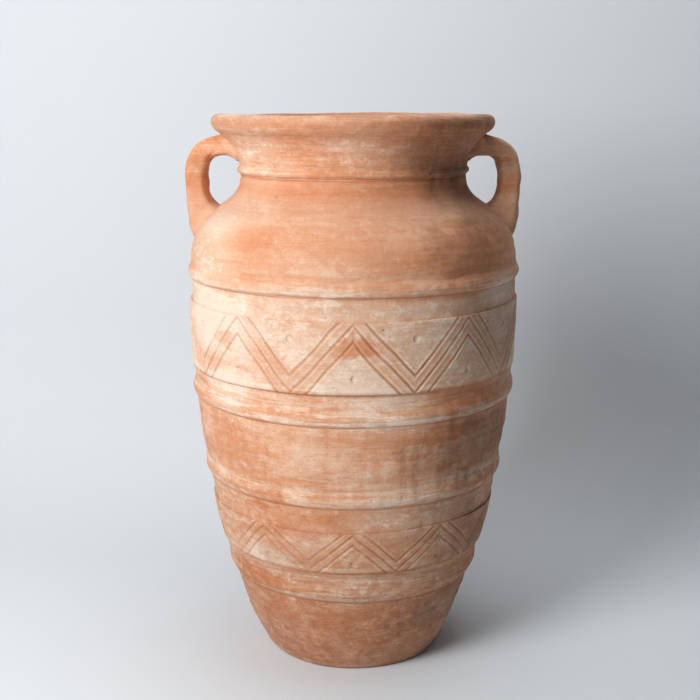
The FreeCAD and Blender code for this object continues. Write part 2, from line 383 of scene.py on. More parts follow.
@dataclass(frozen=True)
class Settling:
    """How the whole jar went slightly out of true while it dried and was fired.

    Attributes:
        out_of_round: The waves in its radius.
        out_of_level: The waves in its height.
        flat_foot: The height below which the foot keeps it level.
        stiff_middle: The radius within which it hardly moves.
        least_radius: The least radius that the swelling is a share of.
    """

    out_of_round: Unevenness = Unevenness(seed=11, size=0.0011, around=5, upward=2.5)
    out_of_level: Unevenness = Unevenness(seed=23, size=0.0009, around=4, upward=2.0)
    flat_foot: float = 0.12
    stiff_middle: float = 0.15
    least_radius: float = 0.05

    def apply(self, points: np.ndarray) -> np.ndarray:
        """Moves every point of a piece by the jar's common distortion.

        Args:
            points: The points, in rows of x, y and z.

        Returns:
            The moved points.
        """
        x, y, z = points.T
        angle, radius = np.arctan2(x, -y), np.hypot(x, y)
        near_axis = np.clip(radius / self.stiff_middle, 0, 1)
        standing = np.clip(z / self.flat_foot, 0, 1)
        swell = 1 + self.out_of_round.at(angle, z) * near_axis / np.maximum(radius, self.least_radius)
        lift = self.out_of_level.at(angle, z) * standing * near_axis
        return np.stack([x * swell, y * swell, z + lift], axis=1)


class Workshop:
    """Turns points into closed pieces and hands them over to the frame."""

    def __init__(self) -> None:
        """Keeps the distortion that every piece shares."""
        self.settling = Settling()
        self.pieces: list[bpy.types.Object] = []

    @staticmethod
    def swept(name: str, rows: np.ndarray, capped: bool = False, **marks: np.ndarray) -> bpy.types.Mesh:
        """Joins closed loops of points into a skin.

        Args:
            name: The mesh's name.
            rows: The loops, as an array of loops by points by 3.
            capped: Whether a fan closes the first and the last loop; otherwise these two are joined.
            **marks: Values to keep on the points, by name.

        Returns:
            The mesh.
        """
        loops, count = rows.shape[:2]
        ring = [(j, (j + 1) % count) for j in range(count)]
        faces = []
        for i in range(loops - 1 if capped else loops):
            here, after = i * count, (i + 1) % loops * count
            faces += [(here + j, here + k, after + k, after + j) for j, k in ring]
        points = rows.reshape(-1, 3)
        if capped:
            for loop in (0, loops - 1):
                centre = len(points)
                points = np.vstack([points, rows[loop].mean(axis=0)])
                faces += [(loop * count + j, loop * count + k, centre) for j, k in ring]
        mesh = bpy.data.meshes.new(name)
        mesh.from_pydata(points.tolist(), [], faces)
        for label, values in marks.items():
            layer = mesh.attributes.new(label, "FLOAT", "POINT")
            flat = np.zeros(len(points), dtype=np.float32)
            flat[:values.size] = values.ravel()
            layer.data.foreach_set("value", flat)
        return mesh

    def clean(self, mesh: bpy.types.Mesh) -> None:
        """Welds doubles, closes open borders, turns the faces outwards and applies the jar's distortion."""
        shape = bmesh.new()
        shape.from_mesh(mesh)
        bmesh.ops.remove_doubles(shape, verts=shape.verts, dist=WELD)
        bmesh.ops.dissolve_degenerate(shape, edges=shape.edges, dist=WELD / 10)
        open_edges = [edge for edge in shape.edges if edge.is_boundary]
        if open_edges:
            bmesh.ops.bridge_loops(shape, edges=open_edges)
        bmesh.ops.recalc_face_normals(shape, faces=shape.faces)
        shape.to_mesh(mesh)
        shape.free()
        flat = np.empty(len(mesh.vertices) * 3, dtype=np.float32)
        mesh.vertices.foreach_get("co", flat)
        mesh.vertices.foreach_set("co", self.settling.apply(flat.reshape(-1, 3).astype(float)).ravel())
        mesh.polygons.foreach_set("use_smooth", [True] * len(mesh.polygons))
        mesh.set_sharp_from_angle(angle=SHARP_ANGLE)
        mesh.update()

    def hand_over(self, mesh: bpy.types.Mesh, material: bpy.types.Material, slot: Slot, *nodes: str) -> None:
        """Finishes a mesh as a piece that stands for CAD nodes, and reports it.

        Args:
            mesh: The piece's mesh, whose name the piece takes.
            material: Its finish.
            slot: The record's slot that the finish belongs to; not used.
            *nodes: The CAD nodes that it stands for.
        """
        self.clean(mesh)
        mesh.materials.clear()
        mesh.materials.append(material)
        piece = put_in_scene(mesh.name, mesh)
        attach(piece, BODY)
        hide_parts(*nodes)
        self.pieces.append(piece)
        LOG.info("%s: %d points, %d faces, for %s", mesh.name, len(mesh.vertices), len(mesh.polygons),
                 ", ".join(nodes))


@dataclass(frozen=True)
class Wall:
    """The jar's thrown wall and floor, in the stretches that show between the ropes.

    Attributes:
        stretches: Each stretch's name, lowest and highest height, and the CAD nodes that it stands for.
        thickness: The wall's thickness.
        floor: The floor's thickness.
        drain: The drain hole's radius.
        drain_edge: How far the drain hole's edges are rounded.
        floor_corner: How far the floor's outer edge is rounded.
        underside: The radii of the loops under the floor.
        foot_round: The radius of the worn edge at the foot.
        turns: Points in one turn.
        step_out: The spacing of the loops outside.
        step_in: The spacing of the loops inside.
        smooth_foot: The height over which the marks below fade in.
        throwing: The ridges of the potter's fingers.
        beating: The shallow flats of the paddle.
    """

    stretches: tuple[tuple[str, float, float, tuple[str, ...]], ...] = (
        ("foot_clay", 0.0, 0.172, ("floor_slab", "foot_wall")),
        ("lower_clay", 0.172, 0.367, ("lower_wall", "waist_wall")),
        ("belly_clay", 0.367, 0.511, ("belly_wall",)),
        ("frieze_backing_clay", 0.511, 0.728, ("belt_wall", "frieze_wall", "upper_body_wall")),
        ("shoulder_clay", 0.728, 0.902, ("shoulder_base_wall", "shoulder_wall", "collar_wall")),
        ("neck_clay", 0.902, RIM_SEAT, ("neck_wall",)),
    )
    thickness: float = 0.019
    floor: float = 0.024
    drain: float = 0.016
    drain_edge: float = 0.003
    floor_corner: float = 0.006
    underside: tuple[float, ...] = (0.06, 0.12)
    foot_round: float = 0.009
    turns: int = 480
    step_out: float = 0.003
    step_in: float = 0.009
    smooth_foot: float = 0.02
    throwing: Unevenness = Unevenness(seed=5, size=0.00032, around=2, upward=60.0, count=30)
    beating: Unevenness = Unevenness(seed=8, size=0.0005, around=22, upward=14.0, count=40)

    def outside(self, low: float, high: float) -> list[tuple[float, float]]:
        """The outside section between two heights, with the foot's edge worn round."""
        heights = np.linspace(low, high, max(2, round((high - low) / self.step_out)) + 1)
        section = [(float(OUTLINE(z)), float(z)) for z in heights]
        if low > 0:
            return section
        worn = self.foot_round
        corner = float(OUTLINE(worn))
        arc = [(corner - worn * (1 - math.cos(t)), worn * (1 - math.sin(t)))
               for t in np.linspace(math.pi / 2, 0, 7)]
        return arc + [(r, z) for r, z in section if z > worn]

    def inside(self, low: float, high: float) -> list[tuple[float, float]]:
        """The inside section between two heights, from the top down."""
        heights = np.linspace(high, max(low, self.floor), max(2, round((high - low) / self.step_in)) + 1)
        return [(float(OUTLINE(z) - self.thickness * math.hypot(1.0, float(OUTLINE.slope(z)))), float(z))
                for z in heights]

    def floor_section(self, inner: float) -> list[tuple[float, float]]:
        """The floor's section: over the top to the drain hole, down through it and out underneath."""
        edge, lip = self.drain_edge, self.drain + self.drain_edge
        top = [(r, self.floor) for r in (inner - self.floor_corner, inner * 0.6, inner * 0.3, lip)]
        through = [(self.drain, self.floor - edge), (self.drain, edge)]
        return top + through + [(r, 0.0) for r in (lip, *self.underside)]

    def build(self, shop: Workshop, material: bpy.types.Material) -> None:
        """Throws every stretch of the wall."""
        angle = np.linspace(0, TURN, self.turns, endpoint=False)
        for name, low, high, nodes in self.stretches:
            section = self.outside(low, high)
            worked = len(section)
            section += self.inside(low, high)
            if low == 0:
                section += self.floor_section(section[-1][0])
            radius, height = (np.array(column)[:, None] for column in zip(*section))
            hand = np.zeros_like(radius)
            hand[:worked] = np.clip(height[:worked] / self.smooth_foot, 0, 1) if low == 0 else 1.0
            relief = (self.throwing.at(angle, height) + self.beating.at(angle, height)) * hand
            inner_side = np.broadcast_to(np.arange(len(section))[:, None] >= worked, relief.shape)
            mesh = shop.swept(name, turned(angle, radius + relief, height), inside=inner_side)
            shop.hand_over(mesh, material, Slot.TERRACOTTA, *nodes)


@dataclass(frozen=True)
class Rim:
    """The thick rolled rim.

    Attributes:
        section: The roll's section, as (radius, height), from its seat outside, over the top, to its
            seat inside.
        inner_points: How many of the section's last points lie inside the mouth.
        turns: Points in one turn.
        span: Points along the section for each pair of its points.
        pinching: How unevenly the roll was folded.
    """

    section: Curve = (
        (0.2384, 0.9652), (0.2418, 0.9669), (0.2479, 0.9712), (0.2530, 0.9770), (0.2553, 0.9840),
        (0.2549, 0.9904), (0.2515, 0.9962), (0.2460, 0.9991), (0.2395, 1.0), (0.2310, 0.9992),
        (0.2230, 0.9962), (0.2180, 0.9905), (0.2163, 0.9830), (0.2157, 0.9745), (0.2163, 0.9672),
        (0.2200, 0.9640),
    )
    inner_points: int = 6
    turns: int = 480
    span: int = 5
    pinching: Unevenness = Unevenness(seed=31, size=0.00042, around=12, upward=25.0, count=36)

    def build(self, shop: Workshop, material: bpy.types.Material) -> None:
        """Rolls the rim."""
        steps = np.arange(len(self.section), dtype=float)
        finer = np.linspace(0, steps[-1], (len(self.section) - 1) * self.span + 1)
        radius, height = (SmoothCurve(zip(steps, column))(finer)[:, None] for column in zip(*self.section))
        angle = np.linspace(0, TURN, self.turns, endpoint=False)
        away = np.sin(np.pi * finer / steps[-1])[:, None] ** 0.5
        relief = self.pinching.at(angle, height) * away
        out, up = np.gradient(height, axis=0), -np.gradient(radius, axis=0)
        length = np.hypot(out, up)
        rows = turned(angle, radius + relief * out / length, height + relief * up / length)
        inner_side = np.broadcast_to((finer > steps[-1] - self.inner_points)[:, None], relief.shape)
        mesh = shop.swept("rim_clay", rows, inside=inner_side)
        shop.hand_over(mesh, material, Slot.TERRACOTTA, "rim_roll")


@dataclass(frozen=True)
class Band:
    """Clay laid on the wall all the way round.

    Attributes:
        SIZES: The fields that its tree takes as numbers.
        node: The CAD node that it stands for.
        low: Its lowest height.
        high: Its highest height.
        relief: How far it stands out.
        seed: The start of its random draws.
        rows: How many loops it has across it.
        turns: Points in one turn.
        sunk: How deep its edges go into the wall.
    """

    SIZES: ClassVar[tuple[str, ...]] = ("low", "high", "relief", "sunk", "seed")

    node: str
    low: float
    high: float
    relief: float
    seed: int
    rows: int
    turns: int
    sunk: float

    def build(self, shop: Workshop, maker: Maker, material: bpy.types.Material) -> None:
        """Lays the band on the wall with the tree of its kind, and hands it over."""
        heights = (self.low, (self.low + self.high) / 2, self.high)
        radii = {word: float(OUTLINE(z)) for word, z in zip(maker.RADII, heights)}
        sizes = {word: float(getattr(self, word)) for word in self.SIZES}
        mesh = maker.make(f"{self.node}_clay", {
            "turns": self.turns, "rows": self.rows, "clay": material, **radii, **sizes})
        shop.hand_over(mesh, material, Slot.WASHED, self.node)


@dataclass(frozen=True)
class Rope(Band):
    """A rope of clay pressed on to the wall.

    Attributes:
        crest: The share of its height at which it stands out most.
        unevenness: How far it wanders up and down.
    """

    SIZES: ClassVar[tuple[str, ...]] = (*Band.SIZES, "crest", "unevenness")

    rows: int = 22
    turns: int = 720
    sunk: float = 0.0009
    crest: float = 0.34
    unevenness: float = 0.004

    @staticmethod
    def maker() -> Maker:
        """The tree that makes a rope: full below its crest, and smoothed into the wall above it."""
        maker = Maker("clay_rope", Rope.SIZES)
        bench = maker.bench
        low, high, relief, sunk, seed, crest, unevenness = map(maker.size, Rope.SIZES)
        shape, around, share = maker.sheet()
        angle = around * TURN
        compass = maker.round_the_jar(angle, 1.0, share * 0.6)
        slow = bench.chance(compass, (4.0, 4.0, 1.0), 2.0, 0.5, seed)
        quick = bench.chance(compass, (16.0, 16.0, 3.0), 2.0, 0.5, seed + 7.0)
        power = bench.math("LOGARITHM", 0.5, crest)
        furrow = bench.bell(share - 0.25 - slow * 0.12, 0.055) * bench.fade(quick, -0.16, 0.12)
        swell = bench.math("SINE", (share ** power) * math.pi) ** 1.25 * (1.0 - furrow * 0.20)
        chips = bench.fade(bench.noise(compass, (30.0, 30.0, 9.0), 2.0, 0.6, seed + 17.0), 0.66, 0.74)
        fullness = (1.0 + slow * 0.7 + quick * 0.45) * (1.0 - chips * 0.4)
        proud = relief * swell * fullness - sunk
        height = low + (high - low) * share + unevenness * slow
        maker.finish(shape, maker.round_the_jar(angle, maker.bare_radius(share) + proud, height))
        return maker


@dataclass(frozen=True)
class Frieze(Band):
    """A flat strip of clay with an incised zigzag of three lines, and round dents.

    Attributes:
        repeats: Peaks in one turn; its points in one turn are a multiple of twice as many.
        upper_dents: Whether there are dents between the peaks too.
        pitch: The lines' spacing, as a share of the zigzag's height.
        groove_width: Half of a groove's width.
        groove_depth: A groove's depth.
        dent_radius: A dent's radius.
        dent_depth: A dent's depth.
        margin: The least gap between the middle line and the strip's edges.
    """

    SIZES: ClassVar[tuple[str, ...]] = (
        *Band.SIZES, "repeats", "upper_dents", "pitch", "groove_width", "groove_depth", "dent_radius",
        "dent_depth", "margin")

    sunk: float = 0.0014
    repeats: int = 9
    upper_dents: bool = False
    pitch: float = 0.25
    groove_width: float = 0.0022
    groove_depth: float = 0.0014
    dent_radius: float = 0.0052
    dent_depth: float = 0.0016
    margin: float = 0.003

    @staticmethod
    def maker() -> Maker:
        """The tree that makes a strip: its loops follow the zigzag and stop at the strip's two edges."""
        maker = Maker("incised_strip", Frieze.SIZES)
        bench = maker.bench
        (low, high, relief, sunk, seed, repeats, upper_dents, pitch, width, depth, reach, dent_depth,
         margin) = map(maker.size, Frieze.SIZES)
        shape, around, across = maker.sheet()
        plain_angle = around * TURN
        compass = maker.round_the_jar(plain_angle, 1.0, 0.0)
        angle = plain_angle + bench.chance(compass, (3.0, 3.0, 1.0), 1.0, 0.5, seed) * 0.07
        tall = high - low
        rise = tall - margin * 2.0
        half = math.pi / repeats
        from_peak = bench.math("PINGPONG", plain_angle / half, 1.0)

        beyond = 1.0 + (margin + 0.006) / rise
        place_across = (across - 0.5) * 2.0
        dense = bench.clamp(place_across, -0.5, 0.5)
        step = dense * 0.72 + (place_across - dense) * ((beyond - 0.36) * 2.0)
        drift = bench.chance(compass, (5.0, 5.0, 1.0), 1.0, 0.5, seed + 3.0) * 0.008
        free = low + margin + rise * (1.0 - from_peak + step) + drift
        height = bench.clamp(free, low, high)
        over = abs(free - height)
        face = bench.fade(over, 0.0, 0.0035, 1.0, 0.0)
        on_face = bench.fade(over, 0.0, 0.001, 1.0, 0.0)
        share = (height - low) / tall
        bare = maker.bare_radius(share)
        run = half * bare
        square_on = run / bench.math("SQRT", run * run + rise * rise)
        place = maker.round_the_jar(angle, bare, height)

        shaken = step + bench.chance(place, (28.0, 28.0, 28.0), 2.0, 0.5, seed + 5.0) * 0.035
        groove = lip = dents = nearness = 0.0
        for line in (-1.0, 0.0, 1.0):
            away = abs(shaken - pitch * line) * rise * square_on
            groove = bench.bell(away, width) + groove
            lip = bench.bell(away - width * 2.0, width * 0.9) + lip
        for sideways, level, wanted in ((from_peak, 0.24, 1.0), (1.0 - from_peak, 0.76, upper_dents)):
            along, up = sideways * run, (share - level) * tall
            distance = bench.math("SQRT", along * along + up * up)
            dents = bench.fade(distance / reach, 0.6, 1.15, 1.0, 0.0) * wanted + dents
            nearness = bench.clamp(1.0 - distance / reach * 0.5, 0.0, 1.0) * wanted + nearness

        pressure = bench.noise(place, (11.0, 11.0, 11.0), 2.0, 0.5, seed + 9.0)
        press = bench.fade(pressure, 0.36, 0.62, 0.65, 1.25)
        hand = bench.chance(place, (40.0, 40.0, 60.0), 3.0, 0.55, seed + 11.0) * 0.0011
        cuts = depth * press * (groove - lip * 0.36)
        radius = bare + relief * face - (1.0 - face) * sunk + (hand - cuts - dent_depth * dents) * on_face
        maker.finish(
            shape, maker.round_the_jar(angle, radius, height),
            # The incision mark is above zero in the grooves and below zero on their lips; from it the finish
            # paints shade into the grooves and a highlight on the lips.
            incision=bench.clamp(groove * press - lip * 0.6, -0.6, 1.0) * on_face,
            rubbed=bench.fade(abs(shaken), pitch * 0.8, pitch * 1.5, 1.0, 0.0) * on_face,
            dent=nearness * on_face)
        return maker


class Side(Enum):
    """The jar's two handles, by the sign of X."""

    LEFT = -1
    RIGHT = 1


@dataclass(frozen=True)
class Handle:
    """A strap handle, luted to the neck and the shoulder.

    Attributes:
        side: Which handle this is.
        stations: Along the strap: centre x and z, its heading in degrees from +X, its thickness and
            its breadth.
        round_count: Points round the strap.
        along_count: Loops along the strap.
        squareness: How square the strap's section is, from 2 for an oval.
        flare: How far the luting clay spreads at the wall.
        flare_reach: How far up the strap the luting clay reaches.
        sunk: How deep the strap's ends go into the wall.
        kneading: The finger marks along the strap.
    """

    side: Side
    stations: tuple[tuple[float, float, float, float, float], ...] = (
        (0.2030, 0.9410, 0.0, 0.0370, 0.0740),
        (0.2440, 0.9435, 0.0, 0.0360, 0.0680),
        (0.2680, 0.9340, -38.0, 0.0370, 0.0640),
        (0.2830, 0.9090, -74.0, 0.0400, 0.0620),
        (0.2855, 0.8780, -91.0, 0.0390, 0.0620),
        (0.2835, 0.8560, -92.0, 0.0420, 0.0630),
        (0.2765, 0.8310, -95.0, 0.0540, 0.0660),
        (0.2680, 0.8000, -101.0, 0.0620, 0.0720),
        (0.2580, 0.7760, -106.0, 0.0560, 0.0760),
    )
    round_count: int = 96
    along_count: int = 150
    squareness: float = 3.5
    flare: float = 0.0075
    flare_reach: float = 0.017
    sunk: float = 0.006
    kneading: Unevenness = Unevenness(seed=43, size=0.0006, around=7, upward=34.0, count=30)

    def build(self, shop: Workshop, material: bpy.types.Material) -> None:
        """Pulls the strap and lutes it on."""
        places = [(a[0], a[1]) for a in self.stations]
        travel = [0.0]
        for (x0, z0), (x1, z1) in zip(places, places[1:]):
            travel.append(travel[-1] + math.hypot(x1 - x0, z1 - z0))
        along = np.linspace(0, travel[-1], self.along_count)
        x, z, heading, thick, broad = (SmoothCurve(zip(travel, column))(along)[:, None]
                                       for column in zip(*self.stations))
        turn = np.linspace(0, TURN, self.round_count, endpoint=False)[None, :]
        slope = np.radians(heading)
        power = 2 / self.squareness
        across = np.sign(np.cos(turn)) * np.abs(np.cos(turn)) ** power
        sideways = np.sign(np.sin(turn)) * np.abs(np.sin(turn)) ** power
        hand = self.kneading.at(turn + (0.7 if self.side is Side.LEFT else 0.0), along[:, None])
        outwards, breadth = thick / 2 * across + hand * across, broad / 2 * sideways + hand * sideways

        def placed(out: np.ndarray, wide: np.ndarray) -> np.ndarray:
            """The strap's points for offsets across it and along Y."""
            return np.stack([x - np.sin(slope) * out, wide + 0 * out, z + np.cos(slope) * out], axis=2)

        rows = placed(outwards, breadth)
        spread = np.clip(1 - self.gap(rows) / self.flare_reach, 0, 1) ** 2.2 * self.flare
        inner = np.clip(1 - 1.2 * np.maximum(across, 0), 0, 1)
        top_end = (along < travel[2])[:, None]
        spread = spread * np.where(top_end, 0.55 + 0.45 * inner, inner)
        rows = placed(outwards + spread * across, breadth + spread * sideways)
        distance = np.hypot(rows[..., 0], rows[..., 1])
        least = OUTLINE(rows[..., 2]) - self.sunk
        push = np.where(distance < least, least / np.maximum(distance, 1e-6), 1.0)
        rows[..., 0] *= push * self.side.value
        rows[..., 1] *= push
        word = self.side.name.lower()
        nodes = (f"{word}_{part}" for part in ("handle", "upper_luting", "lower_luting"))
        mesh = shop.swept(f"{word}_handle_clay", rows, capped=True)
        shop.hand_over(mesh, material, Slot.TERRACOTTA, *nodes)

    @staticmethod
    def gap(rows: np.ndarray) -> np.ndarray:
        """How far each point stands off the bare wall."""
        height = rows[..., 2]
        return (np.hypot(rows[..., 0], rows[..., 1]) - OUTLINE(height)) / np.hypot(1.0, OUTLINE.slope(height))


# ---- Finishes ----


@dataclass(frozen=True)
class WearAndShadePatch:
    """A place where more or less of the wash is left than elsewhere at its height; the same shape also
    darkens the colour in places, partly as real stains and partly as painted shade.

    Attributes:
        angle: Its place round the jar, in degrees.
        height: Its height.
        reach: Half of its breadth; it is half as tall.
        change: How much more of the wash is left there; for the darker patches, how much brighter the colour
            is there.
    """

    angle: float
    height: float
    reach: float
    change: float

    def amount(self, bench: NodeBench, flattened: Wire, ragged: Wire) -> Wire:
        """The change at each point.

        Args:
            bench: The material's bench.
            flattened: The point's place, with its height doubled.
            ragged: Chance values round 0 that break up the patch's edge.

        Returns:
            The change in the amount of wash, or in the brightness for the darker patches.
        """
        radius = float(OUTLINE(self.height))
        turn = math.radians(self.angle)
        centre = (radius * math.sin(turn), -radius * math.cos(turn), 2 * self.height)
        away = bench.wire("ShaderNodeVectorMath", "Value", {0: flattened, 1: centre}, operation="DISTANCE")
        return bench.fade(away + ragged, self.reach * 1.35, self.reach * 0.45, 0.0, self.change)


# Each patch's angle, height, reach and change: of the wash first, and then of the brightness. The brightness
# patches are partly real stains and partly painted shade on the jar's shaded side, most of them at 42 to 62
# degrees.
WORN_PATCHES = tuple(WearAndShadePatch(*row) for row in (
    (-50, 0.985, 0.100, 0.26), (-54, 0.930, 0.100, 0.24), (4, 0.945, 0.085, 0.19),
    (20, 0.873, 0.120, -0.04), (-58, 0.840, 0.110, 0.26), (-60, 0.775, 0.110, 0.26),
    (-40, 0.800, 0.050, -0.14), (42, 0.775, 0.110, -0.20), (-12, 0.745, 0.100, 0.14),
    (-60, 0.690, 0.090, 0.18), (58, 0.716, 0.060, 0.25), (-50, 0.650, 0.100, 0.32),
    (0, 0.634, 0.034, -0.44), (-46, 0.630, 0.020, -0.28), (-48, 0.541, 0.068, 0.42),
    (36, 0.545, 0.070, -0.18), (12, 0.512, 0.090, 0.20), (-42, 0.450, 0.060, -0.10),
    (-14, 0.440, 0.060, 0.17), (33, 0.470, 0.060, -0.20), (-34, 0.360, 0.060, -0.20),
    (22, 0.335, 0.100, 0.24), (-22, 0.322, 0.080, -0.24), (-16, 0.290, 0.050, 0.25),
    (-42, 0.236, 0.050, 0.36), (-50, 0.183, 0.060, -0.25), (-2, 0.185, 0.080, 0.20),
    (46, 0.115, 0.060, 0.30), (150, 0.790, 0.140, 0.25), (200, 0.440, 0.120, 0.25),
    (120, 0.632, 0.040, -0.40), (240, 0.632, 0.040, -0.40),
))
STAINS_AND_PAINTED_SHADE = tuple(WearAndShadePatch(*row) for row in (
    (48, 0.440, 0.140, -0.38), (42, 0.775, 0.090, -0.18), (54, 0.270, 0.110, -0.24),
    (12, 0.420, 0.030, -0.08), (54, 0.945, 0.120, -0.34), (58, 0.640, 0.110, -0.20),
    (52, 0.110, 0.110, -0.18), (210, 0.470, 0.110, -0.20), (62, 0.850, 0.110, -0.26),
    (46, 0.345, 0.080, -0.18),
))


# The finish's chance values: the noise's scale, detail, roughness, seed and bend.
CHANCES = {
    "patches": ((8.0, 8.0, 11.0), 5.0, 0.60, 1.0, 0.5),
    "clouds": ((3.0, 3.0, 4.5), 3.0, 0.5, 2.0),
    "streaks": ((6.0, 6.0, 66.0), 6.0, 0.68, 3.0, 0.4),
    "brush": ((15.0, 15.0, 400.0), 4.0, 0.65, 4.0),
    "scuffs": ((52.0, 52.0, 70.0), 7.0, 0.72, 5.0, 0.4),
    "drips": ((50.0, 50.0, 8.0), 5.0, 0.62, 6.0, 0.7),
    "spots": ((24.0, 24.0, 38.0), 5.0, 0.62, 9.0, 0.5),
    "speckle": ((230.0, 230.0, 300.0), 3.0, 0.7, 8.0),
    "grain": ((600.0, 600.0, 600.0), 2.0, 0.6, 7.0),
}


@dataclass(frozen=True)
class ClayFinish:
    """Unglazed terracotta under the remains of a wiped, chalky wash.

    Attributes:
        name: The material's name.
        incised: Whether the piece carries the incision marks.
        creased: Whether shade is painted into the creases under the ropes and the friezes, with a painted
            highlight just above each crease and a painted contact shadow along the foot.
        shift: How much more of the wash this piece has than the rest.
        tones: The colour at each amount of wash, from bare clay to thick chalk.
        grime_and_shade_brown: The dark brown mixed in for painted shade in the grooves (with some grime), in
            the creases and round the dents' edges, for the painted contact shadow at the foot, and for the
            darker pits and the smudges of grime.
        wash_by_height: How much of the wash is left at each height.
        wear_by_height: Half of how strongly the surface is scuffed at each height.
        brushed_by_height: Half of how strongly the wash is streaked by wiping round the jar, at each height.
    """

    name: str
    incised: bool = False
    creased: bool = True
    shift: float = 0.0
    tones: tuple[tuple[float, Colour], ...] = (
        (0.0, (0.55, 0.200, 0.082, 1.0)), (0.25, (0.595, 0.252, 0.122, 1.0)), (0.5, (0.64, 0.325, 0.19, 1.0)),
        (0.75, (0.685, 0.43, 0.29, 1.0)), (1.0, (0.75, 0.58, 0.46, 1.0)),
    )
    grime_and_shade_brown: Colour = (0.17, 0.065, 0.03, 1.0)
    wash_by_height: Curve = (
        (0.0, 0.36), (0.04, 0.30), (0.12, 0.26), (0.155, 0.32), (0.185, 0.46), (0.215, 0.56), (0.29, 0.53),
        (0.34, 0.52), (0.38, 0.60), (0.40, 0.44), (0.48, 0.43), (0.505, 0.60), (0.54, 0.48), (0.56, 0.82),
        (0.64, 0.80), (0.705, 0.78), (0.72, 0.58), (0.745, 0.50), (0.79, 0.39), (0.83, 0.54), (0.855, 0.48),
        (0.875, 0.20), (0.90, 0.40), (0.93, 0.42), (0.955, 0.32), (0.985, 0.16), (1.0, 0.52),
    )
    wear_by_height: Curve = (
        (0.0, 0.70), (0.16, 0.62), (0.30, 0.60), (0.36, 0.48), (0.55, 0.46), (0.70, 0.46), (0.76, 0.33),
        (0.88, 0.29), (0.91, 0.58), (0.96, 0.60), (1.0, 0.45),
    )
    brushed_by_height: Curve = (
        (0.0, 0.17), (0.14, 0.15), (0.165, 0.62), (0.20, 0.55), (0.23, 0.17), (0.32, 0.17), (0.345, 0.62),
        (0.385, 0.60), (0.41, 0.42), (0.49, 0.42), (0.505, 0.85), (0.535, 0.80), (0.56, 0.17), (0.69, 0.15),
        (0.715, 0.55), (0.745, 0.50), (0.77, 0.32), (0.86, 0.22), (0.89, 0.50), (0.93, 0.38), (1.0, 0.38),
    )

    def scratches(self, bench: NodeBench, place: Wire, chance: dict[str, Wire]) -> Wire:
        """Thin wandering strokes, in a few places only."""
        lines = 0.0
        for seed, scale in ((11.0, (17.0, 17.0, 30.0)), (12.0, (30.0, 30.0, 20.0))):
            path = bench.chance(place, scale, 2.0, 0.55, seed, 0.6)
            lines = bench.fade(abs(path), 0.011, 0.002) + lines
        where = bench.noise(place, (13.0, 13.0, 15.0), 2.0, 0.5, 13.0) + chance["scuffs"] * 0.6
        return bench.clamp(lines, 0.0, 1.0) * bench.fade(where, 0.555, 0.66)

    def wash_left(self, bench: NodeBench, height: Wire, flattened: Wire, wear: Wire,
                  chance: dict[str, Wire]) -> Wire:
        """How much of the wash is left at each point, from about 0 to 1."""
        left = bench.ramp(height, self.wash_by_height)
        brushed = bench.ramp(height, self.brushed_by_height) * 2.0
        scuffs, brush, drips = chance["scuffs"], chance["brush"], chance["drips"]
        streaks = chance["streaks"] * brushed
        fine = (streaks * 0.50 + brush * (brushed * 0.40 + 0.12) + scuffs * 0.50
                + chance["speckle"] * 0.26)
        broken = chance["patches"] * (1.45 - brushed * 0.6) + streaks * 1.25 + scuffs * 0.50
        chalk = bench.fade(broken, -0.06, 0.06) - 0.45
        flakes = bench.fade(chance["spots"] + scuffs * 0.50 + brush * 0.3, 0.03, 0.10) - 0.3
        belly = bench.bell(height - 0.43, 0.065) + bench.bell(height - 0.09, 0.06) * 0.6
        runs = drips * 0.55 + bench.fade(drips, -0.12, -0.02, -0.07, 0.02)
        wiped = fine + chalk * (brushed * 0.13 + 0.08) + flakes * 0.10
        amount = left + self.shift + wiped * wear + chance["clouds"] * 0.30 + belly * runs
        ragged = chance["patches"] * 0.13 + scuffs * 0.10 + chance["streaks"] * 0.06
        for patch in WORN_PATCHES:
            amount = amount + patch.amount(bench, flattened, ragged)
        if self.creased:
            # Painted shade: less wash in each crease. Painted highlight: more wash in a thin line just above
            # it, on the lower edge of the rope or the frieze.
            for crease in CREASES:
                amount = amount - bench.bell(height - crease, 0.004) * 0.16
                amount = amount + bench.bell(height - crease - 0.008, 0.0035) * 0.14
        return amount - bench.mark("inside") * 0.16

    def crease_shade_lines(self, bench: NodeBench, height: Wire, chance: dict[str, Wire]) -> Any:
        """Painted shade in the creases under the ropes and the friezes, and a painted contact shadow along
        the foot's bottom edge.
        """
        if not self.creased:
            return 0.0
        # A painted contact shadow along the foot's bottom edge, then painted shade in each crease.
        lines = bench.bell(height, 0.004)
        for crease in CREASES:
            lines = bench.bell(height - crease, 0.0013) + lines
        # How strong the painted shade is, varying at random.
        crease_shade_share = bench.fade(chance["patches"] + chance["scuffs"] * 0.8, -0.16, 0.14, 0.06, 0.50)
        return lines * crease_shade_share * (1.0 - bench.mark("inside"))

    def pits(self, bench: NodeBench, place: Wire, scuffs: Wire) -> Wire:
        """Small round holes, in a few cells of a random grid."""
        cells = bench.node("ShaderNodeTexVoronoi", {"Vector": place, "Scale": 62.0, "Randomness": 1.0})
        draw = bench.wire("ShaderNodeSeparateColor", 0, {0: Wire(bench, cells.outputs["Color"])})
        breadth = bench.fade(draw, 0.93, 1.0, 0.05, 0.15)
        depth = Wire(bench, cells.outputs["Distance"]) - breadth + scuffs * 0.12
        return bench.fade(depth, 0.0, -0.05) * bench.fade(draw, 0.93, 0.95)

